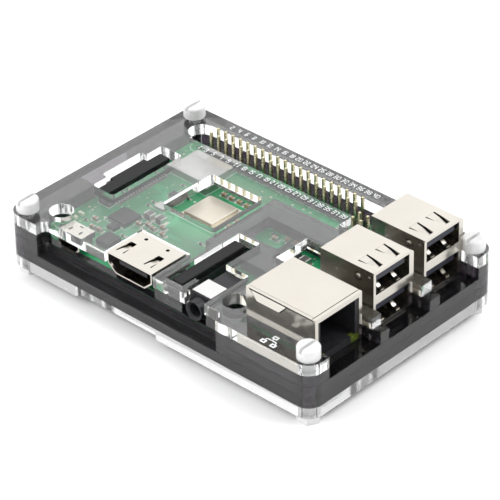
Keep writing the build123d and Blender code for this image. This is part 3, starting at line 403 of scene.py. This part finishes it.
class Shape:
    """Collects geometry in board millimetres and turns it into one piece."""

    def __init__(self):
        self.verts = []
        self.faces = []

    def add(self, verts, faces):
        base = len(self.verts)
        self.verts += [at(*v) for v in verts]
        self.faces += [[base + i for i in face] for face in faces]

    def loft(self, rings):
        """Closed rings of equal length joined in turn, with both ends capped."""
        count = len(rings[0])
        verts = [point for ring in rings for point in ring]
        faces = [list(range(count))[::-1], [len(verts) - count + i for i in range(count)]]
        for step in range(len(rings) - 1):
            a, b = step * count, (step + 1) * count
            for i in range(count):
                j = (i + 1) % count
                faces.append([a + i, a + j, b + j, b + i])
        self.add(verts, faces)

    def plate(self, outline, z):
        """A flat outline with thickness."""
        self.loft([[(x, y, level) for x, y in outline] for level in z])

    def wall(self, outline, y):
        """An outline in X and Z with thickness along Y."""
        self.loft([[(x, level, z) for x, z in outline] for level in y])

    def box(self, x, y, z):
        self.plate([(x[0], y[0]), (x[1], y[0]), (x[1], y[1]), (x[0], y[1])], z)

    def disc(self, x, y, radius, z, sides=10, top=1.0):
        """A round dot, or with a smaller top a low mound."""
        self.loft([
            [(px, py, level) for px, py in circle(x, y, radius * scale, sides)]
            for level, scale in zip(z, (1.0, top))
        ])

    def line(self, points, width, z):
        """A flat line of one width through plan points."""
        for (ax, ay), (bx, by) in zip(points, points[1:]):
            length = math.hypot(bx - ax, by - ay)
            if length < 1e-6:
                continue
            ux, uy = (bx - ax) / length * width / 2, (by - ay) / length * width / 2
            self.plate(
                [(ax - ux + uy, ay - uy - ux), (bx + ux + uy, by + uy - ux), (bx + ux - uy, by + uy + ux),
                 (ax - ux - uy, ay - uy + ux)], z,
            )

    def frame(self, x, y, width, z):
        """A rectangle drawn as a line."""
        self.box((x[0], x[1]), (y[0], y[0] + width), z)
        self.box((x[0], x[1]), (y[1] - width, y[1]), z)
        self.box((x[0], x[0] + width), (y[0] + width, y[1] - width), z)
        self.box((x[1] - width, x[1]), (y[0] + width, y[1] - width), z)

    def ribbon(self, path, side, thick, taper=1.0):
        """A strip of sheet metal: a path of (x, y, z) centres, a half width vector and a thickness vector."""
        rings = []
        for step, (px, py, pz) in enumerate(path):
            scale = 1.0 + (taper - 1.0) * step / (len(path) - 1)
            sx, sy, sz = side[0] * scale, side[1] * scale, side[2] * scale
            rings.append([
                (px - sx, py - sy, pz - sz), (px + sx, py + sy, pz + sz),
                (px + sx + thick[0], py + sy + thick[1], pz + sz + thick[2]),
                (px - sx + thick[0], py - sy + thick[1], pz - sz + thick[2]),
            ])
        self.loft(rings)

    def piece(self, name, material, body=BODY, bevel=0.0):
        mesh = bpy.data.meshes.new(name)
        mesh.from_pydata([tuple(v) for v in self.verts], [], self.faces)
        work = bmesh.new()
        work.from_mesh(mesh)
        bmesh.ops.recalc_face_normals(work, faces=work.faces)
        work.to_mesh(mesh)
        work.free()
        obj = bpy.data.objects.new(name, mesh)
        bpy.context.scene.collection.objects.link(obj)
        mesh.materials.append(material)
        if bevel:
            mod = obj.modifiers.new("edge", "BEVEL")
            mod.width = bevel * MM
            mod.segments = 2
            mod.limit_method = "ANGLE"
        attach(obj, body)
        return obj


# ---------------------------------------------------------------- soldered parts
# node, length of its tinned ends, how far they stand proud
TINNED = (("capacitors", 0.34, 0.03), ("resistors", 0.22, 0.025), ("inductors", 0.4, 0.03))
TINNED_NAMES = [name for name, end, proud in TINNED]
END_CAP_FOOT = 0.02
PAD_REACH = 0.35
PAD_SIDE = 0.1
PAD_Z = (0.0, 0.05)

caps = Shape()
pads = Shape()
for name, end, proud in TINNED:
    for low_c, high_c in islands(name):
        cap_y = (low_c[1] - proud, high_c[1] + proud)
        cap_z = (END_CAP_FOOT, high_c[2] + proud)
        caps.box((low_c[0] - proud, low_c[0] + end), cap_y, cap_z)
        caps.box((high_c[0] - end, high_c[0] + proud), cap_y, cap_z)
        pad_y = (low_c[1] - PAD_SIDE, high_c[1] + PAD_SIDE)
        pads.box((low_c[0] - PAD_REACH, low_c[0]), pad_y, PAD_Z)
        pads.box((high_c[0], high_c[0] + PAD_REACH), pad_y, PAD_Z)
caps.piece("part_end_caps", M_SOLDER, bevel=0.05)

# how far a chip's leg reaches out, with its level there
LEG_PATH = ((0.0, 0.42), (0.22, 0.42), (0.34, 0.05), (0.62, 0.05))
LEG_PITCH = 0.62
LEG_HALF = 0.13
LEG_THICK = 0.08

legs = Shape()
for name in ("small_chips", "power_chip"):
    for low_c, high_c in islands(name):
        span = high_c[0] - low_c[0]
        count = max(2, int(span / LEG_PITCH))
        for way in range(count):
            mid_x = low_c[0] + span * (way + 0.5) / count
            for edge_y, out in ((low_c[1], -1), (high_c[1], 1)):
                path = [(mid_x, edge_y + out * reach, level) for reach, level in LEG_PATH]
                legs.ribbon(path, (LEG_HALF, 0, 0), (0, 0, LEG_THICK))
legs.piece("chip_legs", M_SOLDER)

HUB_PADS = 12
HUB_PAD_REACH = 0.4
HUB_PAD_HALF = 0.1

low_c, high_c = node_span("hub_chip")
for edge, side in ((low_c[0], -1), (high_c[0], 1)):
    for way in range(HUB_PADS):
        mid_y = low_c[1] + (high_c[1] - low_c[1]) * (way + 0.5) / HUB_PADS
        pads.box(sorted((edge, edge + side * HUB_PAD_REACH)), around(mid_y, HUB_PAD_HALF), PAD_Z)

# ---------------------------------------------------------------- bare pads
DECK_FEET = (-0.2, 1.4)
WIDEST_PART = 60
PAD_TRIES = 520
PAD_AREA = ((1.5, 83.5), (1.2, 54.8))
PAD_RADII = (0.16, 0.2, 0.26, 0.4)
PAD_CLEARANCE = 0.3
BARE_PAD_Z = (0.0, 0.03)

# the room that parts on the deck take up, which bare pads stay out of
taken = []
for name in NODES:
    low_c, high_c = node_span(name)
    stands = DECK_FEET[0] < low_c[2] < DECK_FEET[1] and high_c[0] - low_c[0] < WIDEST_PART
    if stands and name not in TINNED_NAMES:
        taken.append((low_c, high_c))
for name in (*TINNED_NAMES, "small_chips", "status_leds", "crystal_cans"):
    taken += islands(name)


def is_free(x, y, margin):
    for low_c, high_c in taken:
        if low_c[0] - margin < x < high_c[0] + margin and low_c[1] - margin < y < high_c[1] + margin:
            return False
    return True


for spot in range(PAD_TRIES):
    x, y = rng.uniform(*PAD_AREA[0]), rng.uniform(*PAD_AREA[1])
    radius = rng.choice(PAD_RADII)
    if is_free(x, y, radius + PAD_CLEARANCE):
        pads.disc(x, y, radius, BARE_PAD_Z, sides=8, top=0.8)
pads.piece("solder_pads", M_TIN)

# ---------------------------------------------------------------- copper tracks
TRACK_BUNDLES = 46
TRACK_START = ((4, 80), (3, 52))
TRACK_AREA = ((1.5, 83.5), (1.5, 54.5))
TRACK_X = (1, 84)
TRACK_LANES = (2, 3, 4, 6)
TRACK_LEGS = (2, 3, 4)
TRACK_REACH = (2.0, 8.0)
TRACK_PITCH = 0.42
TRACK_WIDTH = 0.2
TRACK_Z = (0.0, 0.008)
HEADINGS = 8

tracks = Shape()
for bundle in range(TRACK_BUNDLES):
    x, y = rng.uniform(*TRACK_START[0]), rng.uniform(*TRACK_START[1])
    heading = rng.randrange(HEADINGS)
    lanes = rng.choice(TRACK_LANES)
    path = [(x, y)]
    for leg in range(rng.choice(TRACK_LEGS)):
        reach = rng.uniform(*TRACK_REACH)
        angle = math.tau * heading / HEADINGS
        x, y = x + reach * math.cos(angle), y + reach * math.sin(angle)
        inside_x = min(max(x, TRACK_AREA[0][0]), TRACK_AREA[0][1])
        inside_y = min(max(y, TRACK_AREA[1][0]), TRACK_AREA[1][1])
        path.append((inside_x, inside_y))
        heading += rng.choice((-1, 1))
    across = math.atan2(path[1][1] - path[0][1], path[1][0] - path[0][0]) + math.pi / 2
    for lane in range(lanes):
        shift = (math.cos(across) * lane * TRACK_PITCH, math.sin(across) * lane * TRACK_PITCH)
        moved = [(px + shift[0], py + shift[1]) for px, py in path]
        kept = [point for point in moved if TRACK_X[0] < point[0] < TRACK_X[1]]
        tracks.line(kept, TRACK_WIDTH, TRACK_Z)
tracks.piece("copper_tracks", M_TRACE)

# ---------------------------------------------------------------- print on the deck
# outlines and pin-one dots, no lettering: node and the outline's distance from it
OUTLINED = (
    ("processor_package", 0.5), ("hub_chip", 0.6), ("power_chip", 0.9), ("rf_shield", 0.5),
    ("camera_connector_body", 0.35), ("display_connector_body", 0.35), ("video_port_shell", 0.4),
    ("header_body", 0.3), ("power_header_body", 0.3),
)
OUTLINED_GROUPS = ("capacitors", "inductors", "small_chips", "crystal_cans")
PRINT_Z = (0.0, 0.012)
PRINT_AREA = ((0.4, 84.6), (0.4, 55.6))
PRINT_LINE = 0.15
PRINT_DOT = 0.22
PRINT_DOT_OUT = 0.5
GROUP_MARGIN = (0.5, 0.3)
GROUP_LINE = 0.12
BOARD_HOLES = [(x, y) for x in (3.5, 61.5) for y in (3.5, 52.5)]
HOLE_RING_R = 2.9
HOLE_RING_STEPS = 24

silk = Shape()
for name, margin in OUTLINED:
    low_c, high_c = node_span(name)
    x_span = (max(low_c[0] - margin, PRINT_AREA[0][0]), min(high_c[0] + margin, PRINT_AREA[0][1]))
    y_span = (max(low_c[1] - margin, PRINT_AREA[1][0]), min(high_c[1] + margin, PRINT_AREA[1][1]))
    silk.frame(x_span, y_span, PRINT_LINE, PRINT_Z)
    silk.disc(x_span[0] - PRINT_DOT_OUT, y_span[1] - PRINT_DOT_OUT, PRINT_DOT, PRINT_Z)
for name in OUTLINED_GROUPS:
    for low_c, high_c in islands(name):
        x_span = (low_c[0] - GROUP_MARGIN[0], high_c[0] + GROUP_MARGIN[0])
        y_span = (low_c[1] - GROUP_MARGIN[1], high_c[1] + GROUP_MARGIN[1])
        silk.frame(x_span, y_span, GROUP_LINE, PRINT_Z)
for hole_x, hole_y in BOARD_HOLES:
    ring = circle(hole_x, hole_y, HOLE_RING_R, HOLE_RING_STEPS)
    for start, end in zip(ring, ring[1:] + ring[:1]):
        silk.line([start, end], PRINT_LINE, PRINT_Z)
silk.piece("board_print", M_SILK)

# ---------------------------------------------------------------- marks cut into the cover
# bars of a seven-bar figure that are on, for the digits 0 to 9
DIGITS = ("abcdef", "bc", "abged", "abgcd", "fgbc", "afgcd", "afgcde", "abc", "abcdefg", "abcdfg")
DIGIT_W = 0.62
DIGIT_H = 1.35
DIGIT_LINE = 0.2
DIGIT_STEP = 0.98
TEXT_STEP = 0.95
TEXT_GAP = 0.3
ODD_ROW_Y = 46.1
EVEN_ROW_Y = 58.2
ETCH_SPAN = (-0.06, 0.01)


def digit(shape, value, x, y, z):
    """One seven-bar figure with its lower left corner at x, y."""
    right, top, middle = x + DIGIT_W, y + DIGIT_H, y + DIGIT_H / 2
    bars = {
        "a": ((x, top), (right, top)),
        "b": ((right, top), (right, middle)),
        "c": ((right, middle), (right, y)),
        "d": ((x, y), (right, y)),
        "e": ((x, middle), (x, y)),
        "f": ((x, top), (x, middle)),
        "g": ((x, middle), (right, middle)),
    }
    for bar in DIGITS[value]:
        shape.line(bars[bar], DIGIT_LINE, z)


cover_top = node_span("top_cover")[1][2]
etch_z = moved_by(cover_top, ETCH_SPAN)
etch = Shape()
columns = sorted({round((low_c[0] + high_c[0]) / 2, 2) for low_c, high_c in islands("header_pins")})
for index, pin_x in enumerate(columns):
    for row_y, number in ((ODD_ROW_Y, 2 * index + 1), (EVEN_ROW_Y, 2 * index + 2)):
        text = str(number)
        start = pin_x - 0.5 * (len(text) * TEXT_STEP - TEXT_GAP)
        for place, char in enumerate(text):
            digit(etch, int(char), start + place * DIGIT_STEP, row_y, etch_z)

# network sign: one box over two, joined by a branch
SIGN_X = (77.0, 78.5, 80.0)
SIGN_TOP_Y = -1.15
SIGN_FOOT_Y = -3.75
SIGN_BRANCH_Y = -2.45
SIGN_BOX = (0.75, 0.6)
SIGN_BOX_LINE = 0.36
SIGN_LINE = 0.3

for box_x, box_y in ((SIGN_X[1], SIGN_TOP_Y), (SIGN_X[0], SIGN_FOOT_Y), (SIGN_X[2], SIGN_FOOT_Y)):
    etch.frame(around(box_x, SIGN_BOX[0]), around(box_y, SIGN_BOX[1]), SIGN_BOX_LINE, etch_z)
etch.line([(SIGN_X[1], SIGN_TOP_Y - SIGN_BOX[1]), (SIGN_X[1], SIGN_BRANCH_Y)], SIGN_LINE, etch_z)
etch.line([(SIGN_X[0], SIGN_BRANCH_Y), (SIGN_X[2], SIGN_BRANCH_Y)], SIGN_LINE, etch_z)
for foot_x in (SIGN_X[0], SIGN_X[2]):
    etch.line([(foot_x, SIGN_BRANCH_Y), (foot_x, SIGN_FOOT_Y + SIGN_BOX[1])], SIGN_LINE, etch_z)
etch.piece("cover_marks", M_ETCH)

# ---------------------------------------------------------------- network jack
# side flap, folded out at its foot, and the dark plate of painted shade in the gap behind it: outlines in X
# and Z
FLAP_OUTLINE = ((67.3, 13.35), (69.9, 11.05), (76.7, 11.05), (78.9, 13.35))
FLAP_TOP_Z = 13.35
FLAP_DROP = 2.3
FLAP_TUCK = 0.04
FLAP_LEAN = 0.42
FLAP_THICK = 0.22
FLAP_GAP_SHADE = ((67.0, 13.4), (69.7, 10.85), (76.9, 10.85), (79.2, 13.35))
FLAP_GAP_SHADE_HALF = 0.02
# dark strips of painted shade in the slits, and raised seams: X, span out of the jack's side (or Y on its
# top), and Z
SIDE_SLIT_SHADE = ((79.0, 87.0), (-0.015, 0.03), (13.0, 13.26))
TOP_SLIT_SHADES = (((66.6, 86.3), (3.02, 3.1)), ((86.44, 86.54), (2.7, 17.9)))
TOP_SLIT_SHADE_Z = (-0.05, 0.004)
SIDE_SEAMS = (((69.5, 69.62), (-0.05, 0.02), (5.5, 10.9)), ((85.9, 86.02), (-0.04, 0.02), (1.0, 12.9)))

jack_low, jack_high = node_span("network_jack_shell")
jack_side = jack_low[1]
jack_top = jack_high[2]


def flap_y(z):
    """Where the flap's outer face stands at a height."""
    top_y = jack_side + FLAP_TUCK
    foot_y = jack_side - FLAP_LEAN
    return top_y + (foot_y - top_y) * (FLAP_TOP_Z - z) / FLAP_DROP


flap = Shape()
flap.loft([[(x, flap_y(z) + depth, z) for x, z in FLAP_OUTLINE] for depth in (0.0, FLAP_THICK)])
flap.piece("network_jack_flap", M_NICKEL, bevel=0.05)

# dark plates paint the shade in the gap behind the flap and in the slits on the jack's side and top
gap_shade = Shape()
gap_shade.wall(FLAP_GAP_SHADE, around(jack_side, FLAP_GAP_SHADE_HALF))
gap_shade.box(SIDE_SLIT_SHADE[0], moved_by(jack_side, SIDE_SLIT_SHADE[1]), SIDE_SLIT_SHADE[2])
for x_span, y_span in TOP_SLIT_SHADES:
    gap_shade.box(x_span, y_span, moved_by(jack_top, TOP_SLIT_SHADE_Z))
gap_shade.piece("network_jack_gap_shade", M_PAINTED_SHADE)

seams = Shape()
for x_span, out, z_span in SIDE_SEAMS:
    seams.box(x_span, moved_by(jack_side, out), z_span)
seams.piece("network_jack_seams", M_NICKEL)

# a contact wire's path in X and Z, from the roof of the mouth down to its tip
WIRE_PATH = ((75.0, 10.4), (78.0, 10.0), (81.5, 7.9), (82.0, 7.6), (82.1, 7.2))
WIRES = 8
WIRE_PITCH = 1.02
WIRE_HALF = 0.16

wires = Shape()
jack_mid = (jack_low[1] + jack_high[1]) / 2
for way in range(WIRES):
    wire_y = jack_mid + (way - (WIRES - 1) / 2) * WIRE_PITCH
    wires.ribbon([(x, wire_y, z) for x, z in WIRE_PATH], (0, WIRE_HALF, 0), (0, 0, WIRE_HALF))
wires.piece("network_jack_wires", M_GOLD)

# ---------------------------------------------------------------- USB stacks
# spring paths: X, and height over the mouth's floor or over the deck
FLOOR_SPRING = ((87.0, 0.03), (86.0, 0.3), (84.6, 1.3), (83.8, 1.4), (82.6, 0.8), (82.0, 0.2))
FLOOR_SPRING_OFFSETS = (-3.0, 2.6)
FLOOR_SPRING_HALF = 0.6
FLOOR_SPRING_THICK = 0.18
MOUTH_FLOORS = (1.2, 9.6)
ROOF_SPRING = ((80.7, 15.97), (81.4, 15.95), (83.0, 15.75), (84.6, 15.36), (85.7, 15.22))
ROOF_SPRING_OFFSETS = (-3.15, 2.85)
ROOF_SPRING_HALF = 1.36
ROOF_SPRING_THICK = 0.24
STACK_HALF = 6.55
# a pressed bump: X, Z, radius and how far it stands out
BUMPS = ((82.7, 13.5, 0.62, 0.34), (76.0, 12.2, 0.5, 0.12), (86.0, 14.2, 0.34, 0.1))
BUMP_DOME = ((1.0, -0.02), (0.92, 0.45), (0.66, 0.85), (0.3, 1.0))
BUMP_SIDES = 14
# the slit round a pressed bump, filled with a dark plate as painted shade
SLOT_CENTRE = (82.7, 13.4)
SLOT_RADII = (1.15, 0.95)
SLOT_TURNS = [math.radians(degrees) for degrees in range(95, 356, 20)]
SLOT_HALF = 0.14
SLOT_DEPTH = (-0.02, 0.05)

for stack in ("a", "b"):
    insert_low, insert_high = node_span(f"usb_stack_{stack}_insert")
    mid = (insert_low[1] + insert_high[1]) / 2
    side_y = mid - STACK_HALF
    springs = Shape()
    for floor_z in MOUTH_FLOORS:
        for offset in FLOOR_SPRING_OFFSETS:
            path = [(x, mid + offset, floor_z + z) for x, z in FLOOR_SPRING]
            springs.ribbon(path, (0, FLOOR_SPRING_HALF, 0), (0, 0, FLOOR_SPRING_THICK), taper=0.7)
    for offset in ROOF_SPRING_OFFSETS:
        path = [(x, mid + offset, z) for x, z in ROOF_SPRING]
        springs.ribbon(path, (0, ROOF_SPRING_HALF, 0), (0, 0, -ROOF_SPRING_THICK), taper=0.45)
    springs.piece(f"usb_{stack}_springs", M_NICKEL)
    bumps = Shape()
    for bump_x, bump_z, radius, proud in BUMPS:
        bumps.loft([
            [(x, side_y - proud * out, z) for x, z in circle(bump_x, bump_z, radius * scale, BUMP_SIDES)]
            for scale, out in BUMP_DOME
        ])
    bumps.piece(f"usb_{stack}_bumps", M_NICKEL)
    # dark plates in the slit round each bump paint its shade
    slot_shade = Shape()
    arc = [
        (SLOT_CENTRE[0] + SLOT_RADII[0] * math.cos(turn), SLOT_CENTRE[1] + SLOT_RADII[1] * math.sin(turn))
        for turn in SLOT_TURNS
    ]
    for (ax, az), (bx, bz) in zip(arc, arc[1:]):
        outline = ((ax, az - SLOT_HALF), (bx, bz - SLOT_HALF), (bx, bz + SLOT_HALF), (ax, az + SLOT_HALF))
        slot_shade.wall(outline, moved_by(side_y, SLOT_DEPTH))
    slot_shade.piece(f"usb_{stack}_side_slot_shade", M_PAINTED_SHADE)

# ---------------------------------------------------------------- video and micro ports
# the springs in the video port's roof: X of each, and a path in Y and Z
VIDEO_SPRINGS_X = (26.9, 36.1)
VIDEO_SPRING = ((-0.3, 6.49), (0.6, 6.47), (2.0, 6.28), (3.3, 5.98), (4.2, 5.86))
VIDEO_SPRING_HALF = 0.98
VIDEO_SPRING_THICK = 0.24
VIDEO_DEPTH = (-1.1, 9.3)
# dark plates on the port's inner side walls, painted shade
VIDEO_WALL_SHADE_X = ((24.96, 25.04), (38.96, 39.04))
VIDEO_WALL_SHADE_Z = (3.9, 6.0)
# the port's slanted lower corners: X, and which way the dark lining of painted shade leans
VIDEO_SLANTS = ((26.3, 1), (37.7, -1))
VIDEO_SLANT_Z = 2.7
VIDEO_SLANT_HALF = (1.2, 0.98)
VIDEO_SHADE_LINING = (0.03, 0.05)

fingers = Shape()
for finger_x in VIDEO_SPRINGS_X:
    path = [(finger_x, y, z) for y, z in VIDEO_SPRING]
    fingers.ribbon(path, (VIDEO_SPRING_HALF, 0, 0), (0, 0, -VIDEO_SPRING_THICK), taper=0.6)
fingers.piece("video_port_springs", M_NICKEL)

# dark plates on the inner walls and slanted corners paint the port's shade
shade_liner = Shape()
for wall_x in VIDEO_WALL_SHADE_X:
    shade_liner.box(wall_x, VIDEO_DEPTH, VIDEO_WALL_SHADE_Z)
for slant_x, way in VIDEO_SLANTS:
    path = [(slant_x, y, VIDEO_SLANT_Z) for y in VIDEO_DEPTH]
    half = (VIDEO_SLANT_HALF[0], 0, -way * VIDEO_SLANT_HALF[1])
    shade_liner.ribbon(path, half, (way * VIDEO_SHADE_LINING[0], 0, VIDEO_SHADE_LINING[1]))
shade_liner.piece("video_port_shade_liner", M_PAINTED_SHADE)

# the slots in the micro port's top, drawn as dark plates of painted shade
MICRO_VENTS = (((8.65, 9.15), (0.6, 1.9)), ((12.05, 12.55), (0.6, 1.9)), ((10.0, 11.2), (3.1, 3.5)))
MICRO_VENT_Z = (-0.05, 0.01)

vent_shade = Shape()
micro_top = node_span("micro_port_shell")[1][2]
for vent_x, vent_y in MICRO_VENTS:
    vent_shade.box(vent_x, vent_y, moved_by(micro_top, MICRO_VENT_Z))
vent_shade.piece("micro_port_vent_shade", M_PAINTED_SHADE)

# ---------------------------------------------------------------- flat-cable connectors and card
COMB_TEETH = 22
COMB_START = 1.0
COMB_PITCH = 0.95
COMB_HALF = 0.16
COMB_OUT = (-0.1, 0.02)
COMB_FOOT = 0.3
COMB_DROP = 0.1

comb = Shape()
camera_low, camera_high = node_span("camera_connector_body")
for way in range(COMB_TEETH):
    way_y = camera_low[1] + COMB_START + way * COMB_PITCH
    comb_z = (COMB_FOOT, camera_high[2] - COMB_DROP)
    comb.box(moved_by(camera_low[0], COMB_OUT), around(way_y, COMB_HALF), comb_z)
comb.piece("camera_connector_comb", M_SOLDER)

# a lead's path: distance out of the connector, and height
LEAD_PATH = ((-0.02, 0.5), (0.25, 0.45), (0.45, 0.06), (1.3, 0.06))
LEADS = 18
LEAD_MARGIN = 2.2
LEAD_HALF = 0.2
LEAD_THICK = 0.08

leads = Shape()
display_low, display_high = node_span("display_connector_body")
lead_pitch = (display_high[1] - display_low[1] - 2 * LEAD_MARGIN) / (LEADS - 1)
for way in range(LEADS):
    way_y = display_low[1] + LEAD_MARGIN + way * lead_pitch
    path = [(display_high[0] + out, way_y, level) for out, level in LEAD_PATH]
    leads.ribbon(path, (0, LEAD_HALF, 0), (0, 0, LEAD_THICK))
leads.piece("display_connector_leads", M_SOLDER)

# a finger ridge under the card's outer end
RIDGE_X = (0.25, 0.8)
RIDGE_MARGIN = 1.4
RIDGE_Z = (-0.14, 0.02)

ridge = Shape()
card_low, card_high = node_span("memory_card")
ridge_y = (card_low[1] + RIDGE_MARGIN, card_high[1] - RIDGE_MARGIN)
ridge.box(moved_by(card_low[0], RIDGE_X), ridge_y, moved_by(card_low[2], RIDGE_Z))
ridge.piece("memory_card_ridge", M_CARD, body="card_body", bevel=0.08)

# ---------------------------------------------------------------- stage
FLOOR_HALF = 4.0

floor_mesh = bpy.data.meshes.new("floor")
corners = [(x * FLOOR_HALF, y * FLOOR_HALF, 0) for x, y in ((-1, -1), (1, -1), (1, 1), (-1, 1))]
floor_mesh.from_pydata(corners, [], [(0, 1, 2, 3)])
floor = bpy.data.objects.new("floor", floor_mesh)
bpy.context.scene.collection.objects.link(floor)
floor.data.materials.append(matt("floor_mat", (0.92, 0.92, 0.92)))

world = bpy.data.worlds.new("studio")
bpy.context.scene.world = world
world.use_nodes = True
world.node_tree.nodes["Background"].inputs["Color"].default_value = (1, 1, 1, 1)
world.node_tree.nodes["Background"].inputs["Strength"].default_value = 1.0


def softbox(name, spot, size, power):
    """A rectangular lamp that looks at the origin."""
    data = bpy.data.lights.new(name, "AREA")
    data.shape = "RECTANGLE"
    data.size, data.size_y = size
    data.energy = power
    obj = bpy.data.objects.new(name, data)
    bpy.context.scene.collection.objects.link(obj)
    obj.location = spot
    obj.rotation_mode = "QUATERNION"
    obj.rotation_quaternion = (-Vector(spot)).to_track_quat("-Z", "Y")
    return obj


# the large panel stands where the cover and the metal tops mirror it to the camera
TO_CAMERA = Vector((0.5737, -0.5999, 0.5578))
PANEL_DISTANCE = 1.6

mirrored = Vector((-TO_CAMERA.x, -TO_CAMERA.y, TO_CAMERA.z))
panel = softbox("panel_back", spot=mirrored * PANEL_DISTANCE, size=(1.6, 1.2), power=3.3)
panel.visible_diffuse = False
key = softbox("key_right", spot=(0.9, 0.7, 1.6), size=(1.0, 1.0), power=19)
key.visible_transmission = False
fill = softbox("fill_left", spot=(-0.9, -1.1, 1.0), size=(1.0, 1.0), power=17)
fill.visible_transmission = False
fill.visible_glossy = False

# ---------------------------------------------------------------- camera
TARGET = Vector((0.0002, 0.0003, 0.011))
DISTANCE = 0.709
ROLL = math.radians(-1.27)
SENSOR = 36.0
LENS = 211.3848

cam_data = bpy.data.cameras.new("camera")
cam_data.sensor_width = SENSOR
cam_data.lens = LENS
cam_data.clip_start = 0.01
cam_data.clip_end = 20
cam = bpy.data.objects.new("camera", cam_data)
bpy.context.scene.collection.objects.link(cam)
back = TO_CAMERA.normalized()
level_right = Vector((0, 0, 1)).cross(back).normalized()
level_up = back.cross(level_right)
right = level_right * math.cos(ROLL) + level_up * math.sin(ROLL)
up = level_up * math.cos(ROLL) - level_right * math.sin(ROLL)
turn = Matrix((right, up, back)).transposed()
cam.matrix_world = Matrix.Translation(TARGET + back * DISTANCE) @ turn.to_4x4()
bpy.context.scene.camera = cam

# light passes through many acrylic faces on its way out
scene = bpy.context.scene
scene.view_settings.view_transform = "Standard"
scene.cycles.max_bounces = 40
scene.cycles.glossy_bounces = 32
scene.cycles.transmission_bounces = 32
scene.cycles.transparent_max_bounces = 16
scene.cycles.diffuse_bounces = 4
